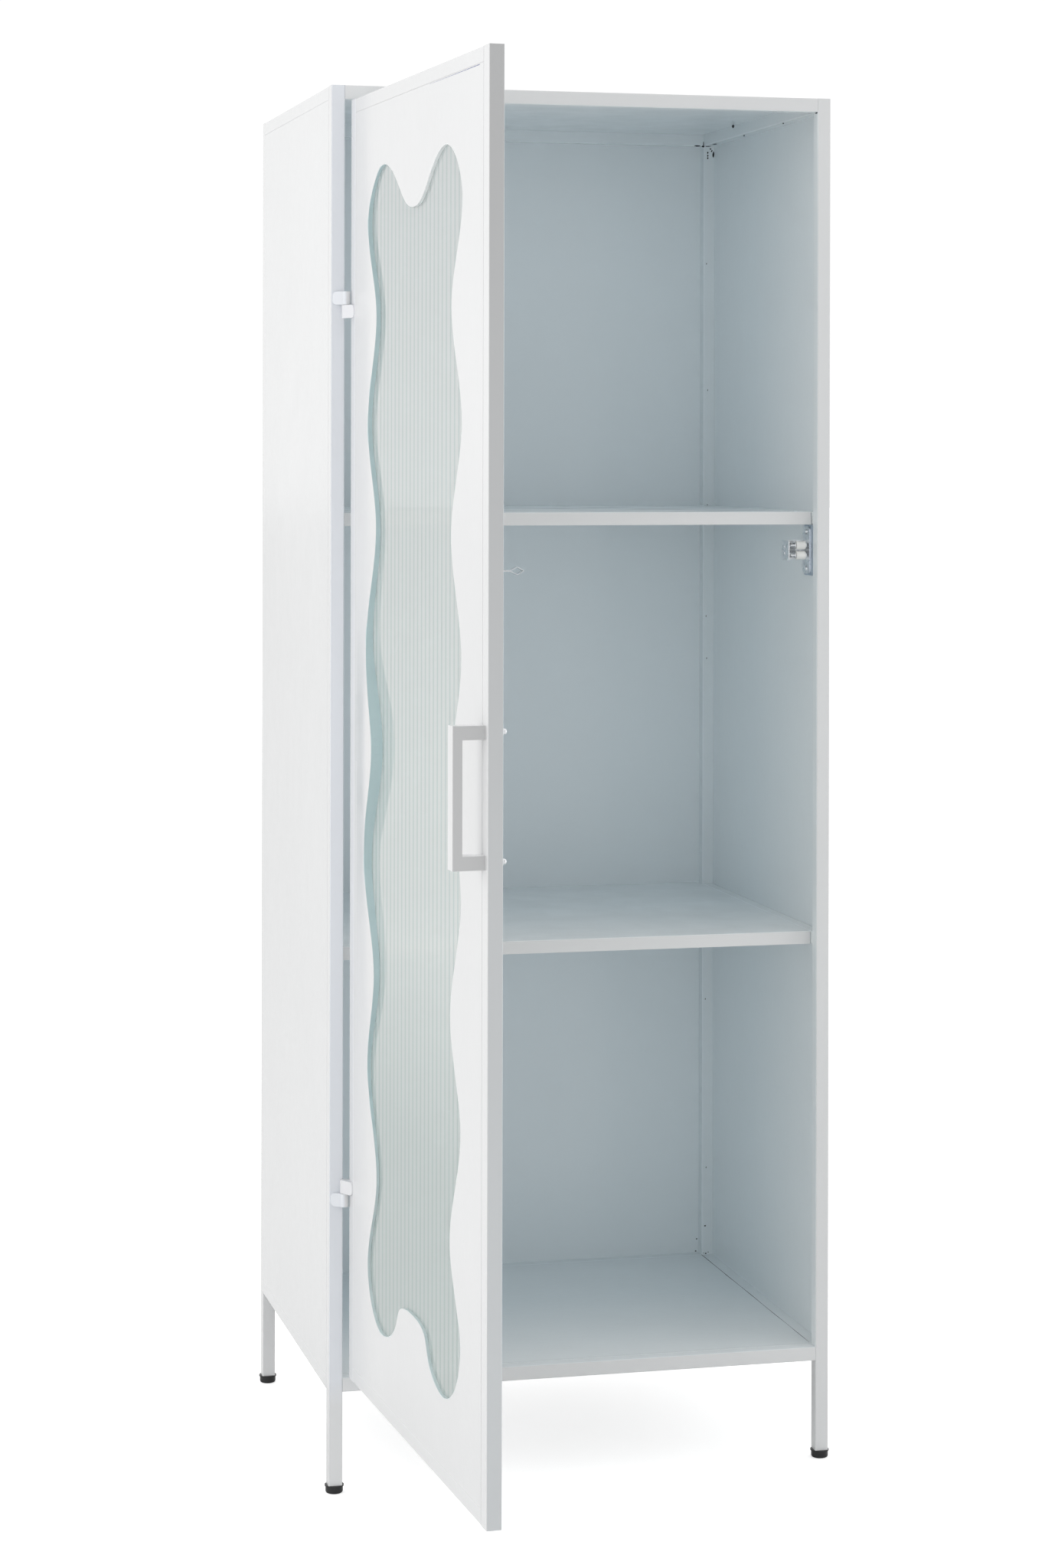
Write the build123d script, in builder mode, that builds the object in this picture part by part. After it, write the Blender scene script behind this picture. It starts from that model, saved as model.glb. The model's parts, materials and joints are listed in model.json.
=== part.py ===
from build123d import *
import os
from math import atan2, cos, degrees, radians, sin

# A locker cabinet of welded square tube and flush sheet panels, with two shelves, an inset door that
# has a wavy window of reeded glass, barrel hinges, a bow handle and a double roller catch.
# Millimetres. The origin is on the floor under the middle of the body. +X is to the right, -Y is the
# front, +Z is up. Door pieces are drawn with the door shut and written with it swung open.

os.makedirs("parts", exist_ok=True)

# Body
width = 600
depth = 480
height = 1608
leg_height = 116
tube = 16
tube_wall = 1.2
tube_radius = 1.2
sheet = 1.2

# Shelves
upper_shelf_top = 1119
lower_shelf_top = 621
shelf_lip = 15
shelf_set_back = 20
shelf_end_gap = 1
bearer = tube - sheet

# Feet
foot_height = 9.5
foot_radius = 10
foot_flange = 11
foot_flange_height = 1.5
plug_height = 14

# Door
door_gap = 2
stile = 20
rail = 16
door_swing = 87

# Wavy window, as heights above the floor and half widths from its middle
window_x = -5
lobe_half = 190
waist_half = 151
lobe_heights = (1452, 1220, 979, 737, 502, 281)
waist_heights = (1344, 1108, 862, 611, 381)
top_valley = 1450
top_shoulder = (64, 1478)
top_crest = (137, 1504)
bottom_crest = (136, 222.5)
bottom_shoulder = (66, 246)
bottom_peak = 275

# Reeded glass
reed_pitch = 16
reed_count = 27
reed_rise = 1.2
glass_base = 3.8
glass_bottom = 190
glass_height = 1336
seal_thick = 2
seal_width = 8

# Glass clips
clip_heights = (330, 660, 1030, 1380)
clip_width = 12
clip_sheet = 1
clip_foot = 12
clip_tongue = 8
clip_stud_radius = 1.5
clip_nut_radius = 3.2
clip_nut_height = 2.4

# Handle
handle_x = 266.5
handle_z = 851
handle_pitch = 128
handle_wide = 18
handle_leg = 14
handle_bar = 10
handle_reach = 34
stud_radius = 2
stud_grip = 9
washer_radius = 4.5
washer_thick = 0.8
nut_radius = 4
nut_height = 3.2
nut_dome_radius = 3.2
nut_dome_height = 3.8

# Hinges
pin_radius = 2
barrel_radius = 5
barrel_stand_off = 5.3
running_clearance = 0.05
knuckle = 15
knuckle_gap = 0.5
leaf = 1.4
frame_leaf = 15
door_leaf = 19
upper_hinge = 1356.8
lower_hinge = 344.4

# Roller catch, about the height catch_z
catch_z = 1073.3
catch_x = 271
roller_radius = 5
roller_length = 11.4
roller_side_gap = 0.4
roller_rise = 5.95
roller_behind_door = 7.5
pivot_rise = 4
pivot_behind_roller = 15.8
axle_radius = 1.25
pivot_radius = 1.5
jaw_radius = 3.2
jaw_sheet = 1
bracket_sheet = 1.4
bracket_wide = 27.2
bracket_tall = 23
plate_thick = 3
plate_deep = 30
plate_tall = 60
catch_screw_pitch = 44
spring_wire = 0.6
strike_wide = 10
strike_tall = 46
strike_sheet = 0.6

# Places worked out from the above
right = width / 2
back = depth / 2
front = -back
opening_side = right - tube
opening_bottom = leg_height + tube
opening_top = height - tube
post_x = right - tube / 2
post_y = back - tube / 2
door_side = opening_side - door_gap
door_bottom = opening_bottom + door_gap
door_top = opening_top - door_gap
door_back = front + tube
hinge_x = -opening_side + 0.7
hinge_y = front - barrel_stand_off
hinge_axis = Axis((hinge_x, hinge_y, 0), (0, 0, 1))


def write(piece, name):
    """Label a finished piece and write it as one STEP file."""
    piece.label = name
    export_step(piece, f"parts/{name}.step")


def write_on_door(piece, name):
    """Write a door piece in its place with the door standing open."""
    write(piece.rotate(hinge_axis, -door_swing), name)


def upright(x, y, z):
    """A plane across a piece that runs upwards from this point."""
    return Plane(origin=(x, y, z), x_dir=(1, 0, 0), z_dir=(0, 0, 1))


def sideways(x, y, z):
    """A plane across a piece that runs along +X from this point, with its own X along +Y."""
    return Plane(origin=(x, y, z), x_dir=(0, 1, 0), z_dir=(1, 0, 0))


def backwards(x, y, z):
    """A plane across a piece that runs along +Y from this point."""
    return Plane(origin=(x, y, z), x_dir=(1, 0, 0), z_dir=(0, 1, 0))


def hollow_tube(start, length, across=tube, deep=tube, capped_start=0, capped_end=0):
    """A rectangular tube from the start plane, with a wall across either end where one is given."""
    with BuildPart() as made:
        with BuildSketch(start):
            RectangleRounded(across, deep, tube_radius)
        extrude(amount=length)
        with BuildSketch(start.offset(capped_start)):
            Rectangle(across - 2 * tube_wall, deep - 2 * tube_wall)
        extrude(amount=length - capped_start - capped_end, mode=Mode.SUBTRACT)
    return made.part


def flat_plate(start, across, deep, thick=sheet):
    """A plain rectangular sheet, from the start plane along its normal."""
    with BuildPart() as made:
        with BuildSketch(start):
            Rectangle(across, deep)
        extrude(amount=thick)
    return made.part


# Frame: four posts, which are the legs too, with their tops welded shut
for end_name, y in (("front", -post_y), ("back", post_y)):
    for side_name, x in (("left", -post_x), ("right", post_x)):
        post = hollow_tube(upright(x, y, foot_height), height - foot_height, capped_end=tube_wall)
        write(post, f"{end_name}_{side_name}_post")

# Rails between the posts, round the top and round the floor
for level_name, z in (("top", height - tube / 2), ("bottom", leg_height + tube / 2)):
    for end_name, y in (("front", -post_y), ("back", post_y)):
        write(hollow_tube(sideways(-opening_side, y, z), 2 * opening_side), f"{level_name}_{end_name}_rail")
    for side_name, x in (("left", -post_x), ("right", post_x)):
        run = depth - 2 * tube
        write(hollow_tube(backwards(x, front + tube, z), run), f"{level_name}_{side_name}_rail")

# Shelf bearers, between the posts and against the inside of the side panels
for shelf_name, shelf_top in (("upper", upper_shelf_top), ("lower", lower_shelf_top)):
    for side_name, side in (("left", -1), ("right", 1)):
        start = backwards(side * (opening_side + bearer / 2), front + tube, shelf_top - bearer / 2)
        run = depth - 2 * tube
        write(hollow_tube(start, run, across=bearer, deep=bearer), f"{shelf_name}_{side_name}_bearer")

# Sheet panels, flush with the outside of the tubes
panel_middle = (opening_bottom + opening_top) / 2
panel_tall = opening_top - opening_bottom
panel_deep = depth - 2 * tube
write(flat_plate(sideways(-right, 0, panel_middle), panel_deep, panel_tall), "left_side_panel")
write(flat_plate(sideways(right - sheet, 0, panel_middle), panel_deep, panel_tall), "right_side_panel")
write(flat_plate(backwards(0, back - sheet, panel_middle), 2 * opening_side, panel_tall), "back_panel")
write(flat_plate(upright(0, 0, height - sheet), 2 * opening_side, panel_deep), "top_panel")
write(flat_plate(upright(0, 0, opening_bottom - sheet), 2 * opening_side, panel_deep), "floor_panel")


def folded_shelf(top):
    """A shelf pan: a flat top with a lip turned down at the front, back and sides."""
    lip_front = front + shelf_set_back
    lip_back = back - sheet
    middle = (lip_front + lip_back) / 2
    run = lip_back - lip_front
    with BuildPart() as made:
        with BuildSketch(Plane.XY.offset(top - sheet)):
            with Locations((0, middle)):
                Rectangle(2 * opening_side, run)
        extrude(amount=sheet)
        with BuildSketch(Plane.XY.offset(top - shelf_lip)):
            with Locations((0, lip_front + sheet / 2), (0, lip_back - sheet / 2)):
                Rectangle(2 * (opening_side - shelf_end_gap), sheet)
            side_run = panel_deep - shelf_set_back
            for side in (-1, 1):
                with Locations((side * (opening_side - sheet / 2), middle)):
                    Rectangle(sheet, side_run)
        extrude(amount=shelf_lip - sheet)
        bend = made.edges().filter_by(Axis.X).group_by(Axis.Z)[-1].sort_by(Axis.Y)[0]
        fillet(bend, sheet * 0.9)
    return made.part


write(folded_shelf(upper_shelf_top), "upper_shelf")
write(folded_shelf(lower_shelf_top), "lower_shelf")

# Feet: round, with a flange under the tube and a square plug up inside it
with BuildPart() as feet:
    for x in (-post_x, post_x):
        for y in (-post_y, post_y):
            with BuildSketch(upright(x, y, 0)):
                Circle(foot_radius)
            extrude(amount=foot_height - foot_flange_height)
            with BuildSketch(upright(x, y, foot_height - foot_flange_height)):
                Circle(foot_flange)
            extrude(amount=foot_flange_height)
            with BuildSketch(upright(x, y, foot_height)):
                Rectangle(tube - 2 * tube_wall, tube - 2 * tube_wall)
            extrude(amount=plug_height)
    fillet(feet.edges().filter_by(GeomType.CIRCLE).group_by(Axis.Z)[0], 2.5)
write(feet.part, "feet")

# Door frame: two stiles the full height with two rails between them
door_middle_y = front + tube / 2
door_tall = door_top - door_bottom
stile_x = door_side - stile / 2
rail_run = 2 * (door_side - stile)


def door_tube(start, length, across, caps):
    """A member of the door frame, as deep as the body's tube."""
    return hollow_tube(start, length, across=across, deep=tube, capped_start=caps, capped_end=caps)


hinge_stile = door_tube(upright(-stile_x, door_middle_y, door_bottom), door_tall, stile, tube_wall)
write_on_door(hinge_stile, "door_hinge_stile")

handle_ends = [(handle_x, handle_z - handle_pitch / 2), (handle_x, handle_z + handle_pitch / 2)]
strike_screw_radius = 1.6
strike_screw_head = 3
strike_screw_height = 1.5
strike_screws_at = [(catch_x, catch_z - 17), (catch_x, catch_z + 17)]
with BuildPart() as free_stile:
    add(door_tube(upright(stile_x, door_middle_y, door_bottom), door_tall, stile, tube_wall))
    with BuildSketch(Plane.XZ.offset(-front)):
        with Locations(*handle_ends):
            Circle(stud_radius)
    extrude(amount=-tube, mode=Mode.SUBTRACT)
    with BuildSketch(Plane.XZ.offset(-door_back)):
        with Locations(*strike_screws_at):
            Circle(strike_screw_radius)
    extrude(amount=tube / 2, mode=Mode.SUBTRACT)
write_on_door(free_stile.part, "door_free_stile")

for level_name, z in (("bottom", door_bottom + rail / 2), ("top", door_top - rail / 2)):
    member = hollow_tube(sideways(-rail_run / 2, door_middle_y, z), rail_run, across=tube, deep=rail)
    write_on_door(member, f"door_{level_name}_rail")


def wave_side(side):
    """One side of the wavy window, from the valley at its top to the peak at its bottom."""
    offsets = [(0, top_valley), top_shoulder, top_crest]
    for z in sorted(lobe_heights + waist_heights, reverse=True):
        offsets.append((lobe_half if z in lobe_heights else waist_half, z))
    offsets += [bottom_crest, bottom_shoulder, (0, bottom_peak)]
    Spline(*[(window_x + side * reach, z) for reach, z in offsets], tangents=[(side, 0), (-side, 0)])


# Door sheet, flush with the front of the door frame, with the wavy window cut out of it
with BuildPart() as door_sheet:
    with BuildSketch(Plane.XZ.offset(-front)):
        with Locations((0, (door_bottom + door_top) / 2)):
            Rectangle(rail_run, door_tall - 2 * rail)
        with BuildLine():
            wave_side(1)
            wave_side(-1)
        make_face(mode=Mode.SUBTRACT)
    extrude(amount=-sheet)
write_on_door(door_sheet.part, "door_sheet")

# Glass pane: flat in front, reeded behind
sheet_back = front + sheet
glass_front = sheet_back + seal_thick
reed_root = glass_front + glass_base
glass_back = reed_root + reed_rise
glass_half = reed_count * reed_pitch / 2
glass_left = window_x - glass_half
glass_right = window_x + glass_half
with BuildPart() as glass:
    with BuildSketch(Plane.XY.offset(glass_bottom)):
        with BuildLine():
            Polyline(
                (glass_left, reed_root), (glass_left, glass_front),
                (glass_right, glass_front), (glass_right, reed_root),
            )
            for reed in range(reed_count):
                x = glass_left + reed * reed_pitch
                ThreePointArc((x, reed_root), (x + reed_pitch / 2, glass_back), (x + reed_pitch, reed_root))
        make_face()
    extrude(amount=glass_height)
write_on_door(glass.part, "reeded_glass")

# Foam seal round the pane, between it and the sheet
with BuildPart() as glass_seal:
    with BuildSketch(Plane.XZ.offset(-sheet_back)):
        with Locations((window_x, glass_bottom + glass_height / 2)):
            Rectangle(2 * glass_half, glass_height)
            Rectangle(2 * (glass_half - seal_width), glass_height - 2 * seal_width, mode=Mode.SUBTRACT)
    extrude(amount=-seal_thick)
write_on_door(glass_seal.part, "glass_seal")

# Glass clips, each a strip that steps from the back of the sheet over the edge of the pane
clip_studs_at = []
for side in (-1, 1):
    for z in clip_heights:
        foot_middle = window_x + side * (glass_half + 1 + clip_foot / 2)
        clip_studs_at.append((foot_middle, z + clip_width / 2))
with BuildPart() as glass_clips:
    for side in (-1, 1):
        edge = window_x + side * glass_half
        riser = edge + side * 0.4
        tip = edge - side * clip_tongue
        end = riser + side * clip_foot
        thick = side * clip_sheet
        for z in clip_heights:
            with BuildSketch(Plane.XY.offset(z)):
                with BuildLine():
                    Polyline(
                        (tip, glass_back), (riser, glass_back), (riser, sheet_back), (end, sheet_back),
                        (end, sheet_back + clip_sheet), (riser + thick, sheet_back + clip_sheet),
                        (riser + thick, glass_back + clip_sheet), (tip, glass_back + clip_sheet),
                        close=True,
                    )
                make_face()
            extrude(amount=clip_width)
    with BuildSketch(Plane.XZ.offset(-sheet_back)):
        with Locations(*clip_studs_at):
            Circle(clip_stud_radius)
    extrude(amount=-clip_sheet, mode=Mode.SUBTRACT)
write_on_door(glass_clips.part, "glass_clips")

with BuildPart() as clip_studs:
    with BuildSketch(Plane.XZ.offset(-sheet_back)):
        with Locations(*clip_studs_at):
            Circle(clip_stud_radius)
    extrude(amount=-clip_sheet)
    with BuildSketch(Plane.XZ.offset(-sheet_back - clip_sheet)):
        with Locations(*clip_studs_at):
            RegularPolygon(clip_nut_radius, 6)
    extrude(amount=-clip_nut_height)
write_on_door(clip_studs.part, "glass_clip_studs")

# Bow handle: a flat bar on two square legs
with BuildPart() as handle:
    reach = front - handle_reach
    half = (handle_pitch + handle_leg) / 2
    with BuildSketch(sideways(handle_x - handle_wide / 2, 0, handle_z)):
        with Locations((front - handle_reach / 2, 0)):
            Rectangle(handle_reach, 2 * half)
        with Locations((front - (handle_reach - handle_bar) / 2, 0)):
            Rectangle(handle_reach - handle_bar, 2 * (half - handle_leg), mode=Mode.SUBTRACT)
    extrude(amount=handle_wide)
    with BuildSketch(Plane.XZ.offset(-front)):
        with Locations(*handle_ends):
            Circle(stud_radius)
    extrude(amount=stud_grip, mode=Mode.SUBTRACT)
    fillet(handle.edges().filter_by(Axis.Z).group_by(Axis.Y)[0], 0.6)
write_on_door(handle.part, "handle")

# Handle fasteners: a stud out of each leg through the stile, with a washer and a cap nut behind
nut_seat = door_back + washer_thick
stud_end = nut_seat + nut_height
with BuildPart() as handle_studs:
    with BuildSketch(Plane.XZ.offset(-front + stud_grip)):
        with Locations(*handle_ends):
            Circle(stud_radius)
    extrude(amount=front - stud_grip - stud_end)
write_on_door(handle_studs.part, "handle_studs")

with BuildPart() as handle_washers:
    with BuildSketch(Plane.XZ.offset(-door_back)):
        with Locations(*handle_ends):
            Circle(washer_radius)
            Circle(stud_radius, mode=Mode.SUBTRACT)
    extrude(amount=-washer_thick)
write_on_door(handle_washers.part, "handle_washers")

with BuildPart() as cap_nuts:
    with BuildSketch(Plane.XZ.offset(-nut_seat)):
        with Locations(*handle_ends):
            RegularPolygon(nut_radius, 6)
    extrude(amount=-nut_height)
    with BuildSketch(Plane.XZ.offset(-stud_end)):
        with Locations(*handle_ends):
            Circle(nut_dome_radius)
    extrude(amount=-nut_dome_height)
    fillet(cap_nuts.edges().filter_by(GeomType.CIRCLE).group_by(Axis.Y)[-1], nut_dome_radius - 0.4)
    with BuildSketch(Plane.XZ.offset(-nut_seat)):
        with Locations(*handle_ends):
            Circle(stud_radius)
    extrude(amount=-nut_height, mode=Mode.SUBTRACT)
write_on_door(cap_nuts.part, "handle_cap_nuts")


def hinge_knuckle(bottom, leaf_run, bore):
    """A knuckle on the pin, with a lug that thins down to the front of the body; leaf_run is signed."""
    with BuildPart() as made:
        with BuildSketch(upright(hinge_x, hinge_y, bottom)):
            with BuildLine():
                Polyline(
                    (0, 0), (0, -barrel_radius), (leaf_run, barrel_stand_off - leaf),
                    (leaf_run, barrel_stand_off), (0, barrel_stand_off), close=True,
                )
            make_face()
            Circle(barrel_radius)
        extrude(amount=knuckle)
        tip = made.edges().filter_by(Axis.Y).sort_by(Axis.X)
        fillet(tip[:2] if leaf_run < 0 else tip[-2:], knuckle * 0.3)
        with BuildSketch(upright(hinge_x, hinge_y, bottom)):
            Circle(bore)
        extrude(amount=knuckle, mode=Mode.SUBTRACT)
    return made.part


def above(hinge_z):
    """The bottom of the upper knuckle of a hinge."""
    return hinge_z + knuckle_gap / 2


def below(hinge_z):
    """The bottom of the lower knuckle of a hinge."""
    return hinge_z - knuckle_gap / 2 - knuckle


# Hinges: the body's knuckle is over the door's at the top hinge and under it at the bottom hinge
loose_bore = pin_radius + running_clearance
frame_knuckles = Compound([
    hinge_knuckle(above(upper_hinge), -frame_leaf, pin_radius),
    hinge_knuckle(below(lower_hinge), -frame_leaf, pin_radius),
])
write(frame_knuckles, "frame_hinge_knuckles")
door_knuckles = Compound([
    hinge_knuckle(below(upper_hinge), door_leaf, loose_bore),
    hinge_knuckle(above(lower_hinge), door_leaf, loose_bore),
])
write_on_door(door_knuckles, "door_hinge_knuckles")

with BuildPart() as hinge_pins:
    for hinge_z in (lower_hinge, upper_hinge):
        with BuildSketch(upright(hinge_x, hinge_y, below(hinge_z))):
            Circle(pin_radius)
        extrude(amount=2 * knuckle + knuckle_gap)
write(hinge_pins.part, "hinge_pins")

# Strike: one strip bent into a hollow spear on two flanges, on the back of the door
neck = 8.7
widest = 15.8
spear = 22.3
spear_half = 3.8
with BuildPart() as strike:
    with BuildSketch(sideways(catch_x - strike_wide / 2, door_back, catch_z)):
        with BuildLine():
            seat = strike_sheet / 2
            stem = strike_sheet / 2 + 0.05
            Polyline(
                (seat, strike_tall / 2), (seat, stem), (neck, stem), (widest, spear_half), (spear, 0),
                (widest, -spear_half), (neck, -stem), (seat, -stem), (seat, -strike_tall / 2),
            )
        trace(line_width=strike_sheet)
    extrude(amount=strike_wide)
    with BuildSketch(Plane.XZ.offset(-door_back)):
        with Locations(*strike_screws_at):
            Circle(strike_screw_radius)
    extrude(amount=-strike_sheet, mode=Mode.SUBTRACT)
write_on_door(strike.part, "catch_strike")

with BuildPart() as strike_screws:
    with BuildSketch(Plane.XZ.offset(-door_back + tube_wall)):
        with Locations(*strike_screws_at):
            Circle(strike_screw_radius)
    extrude(amount=-tube_wall - strike_sheet)
    with BuildSketch(Plane.XZ.offset(-door_back - strike_sheet)):
        with Locations(*strike_screws_at):
            Circle(strike_screw_head)
    extrude(amount=-strike_screw_height)
    fillet(strike_screws.edges().filter_by(GeomType.CIRCLE).group_by(Axis.Y)[-1], 1)
write_on_door(strike_screws.part, "strike_screws")

# Roller catch, behind the right front post
plate_inner = opening_side - 1
plate_middle = door_back + plate_deep / 2
bracket_back = door_back + plate_deep
roller_y = door_back + roller_behind_door
pivot_y = roller_y + pivot_behind_roller
roller_start = catch_x - roller_length / 2
left_cheek = roller_start - roller_side_gap - jaw_sheet
right_cheek = roller_start + roller_length + roller_side_gap
bracket_start = plate_inner - bracket_wide
pivots_at = [(pivot_y, catch_z + pivot_rise), (pivot_y, catch_z - pivot_rise)]
catch_screws_at = [
    (plate_middle + 2, catch_z - catch_screw_pitch / 2), (plate_middle + 2, catch_z + catch_screw_pitch / 2),
]
catch_screw_radius = 1.6
catch_screw_head = 3
catch_screw_height = 1.8

with BuildPart() as catch_plate:
    with BuildSketch(sideways(plate_inner, plate_middle, catch_z)):
        Rectangle(plate_deep, plate_tall)
    extrude(amount=plate_thick)
    rear_corners = catch_plate.edges().filter_by(Axis.X).group_by(Axis.Y)[-1]
    fillet(rear_corners, 5)
    with BuildSketch(sideways(plate_inner, 0, 0)):
        with Locations(*catch_screws_at):
            Circle(catch_screw_radius)
    extrude(amount=plate_thick, mode=Mode.SUBTRACT)
write(catch_plate.part, "catch_mounting_plate")

bracket_deep = 24
with BuildPart() as bracket:
    flange_middle = bracket_back - bracket_deep / 2
    with BuildSketch(sideways(plate_inner - bracket_sheet, flange_middle, catch_z)):
        RectangleRounded(bracket_deep, plate_tall - 4, 5)
    extrude(amount=bracket_sheet)
    with BuildSketch(sideways(bracket_start, flange_middle, catch_z)):
        Rectangle(bracket_deep, bracket_tall)
    extrude(amount=bracket_sheet)
    with BuildSketch(sideways(bracket_start, bracket_back - bracket_sheet / 2, catch_z)):
        Rectangle(bracket_sheet, bracket_tall)
    extrude(amount=bracket_wide)
    with BuildSketch(sideways(bracket_start, 0, 0)):
        with Locations(*pivots_at):
            Circle(pivot_radius)
    extrude(amount=bracket_wide, mode=Mode.SUBTRACT)
    with BuildSketch(sideways(plate_inner - bracket_sheet, 0, 0)):
        with Locations(*catch_screws_at):
            Circle(catch_screw_radius)
    extrude(amount=bracket_sheet, mode=Mode.SUBTRACT)
write(bracket.part, "catch_bracket")

with BuildPart() as catch_screws:
    with BuildSketch(sideways(plate_inner - bracket_sheet, 0, 0)):
        with Locations(*catch_screws_at):
            Circle(catch_screw_radius)
    extrude(amount=bracket_sheet + plate_thick)
    with BuildSketch(sideways(plate_inner - bracket_sheet - catch_screw_height, 0, 0)):
        with Locations(*catch_screws_at):
            Circle(catch_screw_head)
    extrude(amount=catch_screw_height)
    fillet(catch_screws.edges().filter_by(GeomType.CIRCLE).group_by(Axis.X)[0], 1.2)
write(catch_screws.part, "catch_screws")

with BuildPart() as pivot_pins:
    with BuildSketch(sideways(bracket_start, 0, 0)):
        with Locations(*pivots_at):
            Circle(pivot_radius)
    extrude(amount=bracket_wide)
    with BuildSketch(sideways(bracket_start - 0.8, 0, 0)):
        with Locations(*pivots_at):
            Circle(pivot_radius + 0.9)
    extrude(amount=0.8)
write(pivot_pins.part, "catch_pivot_pins")


def catch_jaw(side):
    """A jaw: two cheeks from the pivot to the roller's pin, joined by a web on the outer side."""
    pivot = (pivot_y, catch_z + side * pivot_rise)
    axle = (roller_y, catch_z + side * roller_rise)
    tilt = atan2(side * (roller_rise - pivot_rise), roller_y - pivot_y)
    web_y = pivot[0] + 6 * cos(tilt)
    web_z = pivot[1] + 6 * sin(tilt) + side * (jaw_radius - jaw_sheet / 2)
    inner = left_cheek + jaw_sheet
    with BuildPart() as made:
        for cheek_x in (left_cheek, right_cheek):
            with BuildSketch(sideways(cheek_x, 0, 0)):
                with Locations(pivot, axle):
                    Circle(jaw_radius)
                make_hull()
            extrude(amount=jaw_sheet)
        with BuildSketch(sideways(inner, 0, 0)):
            with Locations((web_y, web_z)):
                Rectangle(8, jaw_sheet, rotation=degrees(tilt))
        extrude(amount=right_cheek - inner)
        with BuildSketch(sideways(left_cheek, 0, 0)):
            with Locations(pivot):
                Circle(pivot_radius + running_clearance)
            with Locations(axle):
                Circle(axle_radius)
        extrude(amount=right_cheek + jaw_sheet - left_cheek, mode=Mode.SUBTRACT)
    return made.part


def catch_roller(side):
    """A roller with a running bore for its pin."""
    with BuildPart() as made:
        with BuildSketch(sideways(roller_start, roller_y, catch_z + side * roller_rise)):
            Circle(roller_radius)
            Circle(axle_radius + running_clearance, mode=Mode.SUBTRACT)
        extrude(amount=roller_length)
        rims = made.edges().filter_by(GeomType.CIRCLE).sort_by(SortBy.RADIUS)[-2:]
        fillet(rims, 0.6)
    return made.part


def roller_pin(side):
    """The pin that a roller turns on, long on the left for the spring to bear on."""
    axle_z = catch_z + side * roller_rise
    start = bracket_start + bracket_sheet + 1.5
    end = right_cheek + jaw_sheet
    with BuildPart() as made:
        with BuildSketch(sideways(start, roller_y, axle_z)):
            Circle(axle_radius)
        extrude(amount=end - start)
        with BuildSketch(sideways(end, roller_y, axle_z)):
            Circle(axle_radius + 0.7)
        extrude(amount=0.6)
    return made.part


for jaw_name, side in (("upper", 1), ("lower", -1)):
    write(catch_jaw(side), f"{jaw_name}_catch_jaw")
    write(catch_roller(side), f"{jaw_name}_catch_roller")
    write(roller_pin(side), f"{jaw_name}_roller_pin")

# Hairpin spring that presses the two roller pins together
spring_x = bracket_start + bracket_sheet + 3
spring_rise = roller_rise + axle_radius + spring_wire
spring_bend_y = bracket_back - bracket_sheet - spring_wire - 0.4 - spring_rise
spring_front_y = roller_y - 2
with BuildPart() as spring:
    with BuildLine(sideways(spring_x, 0, catch_z)):
        Line((spring_front_y, spring_rise), (spring_bend_y, spring_rise))
        CenterArc((spring_bend_y, 0), spring_rise, 90, -180)
        Line((spring_bend_y, -spring_rise), (spring_front_y, -spring_rise))
    with BuildSketch(backwards(spring_x, spring_front_y, catch_z + spring_rise)):
        Circle(spring_wire)
    sweep()
write(spring.part, "catch_spring")
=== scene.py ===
import json
import math

import bmesh
import bpy
from mathutils import Matrix, Vector


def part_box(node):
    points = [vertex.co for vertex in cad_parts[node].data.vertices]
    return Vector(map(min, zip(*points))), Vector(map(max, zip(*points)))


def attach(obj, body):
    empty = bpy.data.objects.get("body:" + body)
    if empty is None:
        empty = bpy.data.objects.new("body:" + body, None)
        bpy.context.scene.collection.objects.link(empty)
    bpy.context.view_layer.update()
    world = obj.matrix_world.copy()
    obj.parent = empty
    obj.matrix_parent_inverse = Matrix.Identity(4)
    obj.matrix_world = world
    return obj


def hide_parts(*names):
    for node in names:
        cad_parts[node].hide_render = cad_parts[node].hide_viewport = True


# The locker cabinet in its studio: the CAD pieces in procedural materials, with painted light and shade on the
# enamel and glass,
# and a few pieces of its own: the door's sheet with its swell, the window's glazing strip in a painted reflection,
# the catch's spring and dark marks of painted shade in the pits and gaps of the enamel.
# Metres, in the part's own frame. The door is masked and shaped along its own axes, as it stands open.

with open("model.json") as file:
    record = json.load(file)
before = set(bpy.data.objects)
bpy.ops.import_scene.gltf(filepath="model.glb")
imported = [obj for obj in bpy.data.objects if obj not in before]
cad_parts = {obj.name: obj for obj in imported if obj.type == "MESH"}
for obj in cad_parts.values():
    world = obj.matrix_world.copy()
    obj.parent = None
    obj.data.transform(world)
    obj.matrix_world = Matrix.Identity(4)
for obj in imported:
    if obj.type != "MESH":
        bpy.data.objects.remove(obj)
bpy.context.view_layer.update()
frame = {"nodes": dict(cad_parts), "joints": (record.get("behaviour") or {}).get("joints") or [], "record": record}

MM = 0.001


def joint_named(name):
    """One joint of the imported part."""
    return next(joint for joint in frame["joints"] if joint["name"] == name)


door_hinge = joint_named("door_hinge")
door_open = math.radians(-door_hinge["range_deg"][0])
hinge_at = Vector(door_hinge["pos_m"])
across_door = Vector((math.cos(door_open), -math.sin(door_open), 0))
out_of_door = Vector((-math.sin(door_open), -math.cos(door_open), 0))


def farthest(name, direction):
    """How far a CAD node reaches from the hinge axis in a direction, as it stands open."""
    corners = frame["nodes"][name].data.vertices
    return max((vertex.co - hinge_at).dot(direction) for vertex in corners)


door_face = farthest("door_sheet", out_of_door)
glass_face = farthest("reeded_glass", out_of_door)

# ---------------------------------------------------------------- camera


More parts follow.
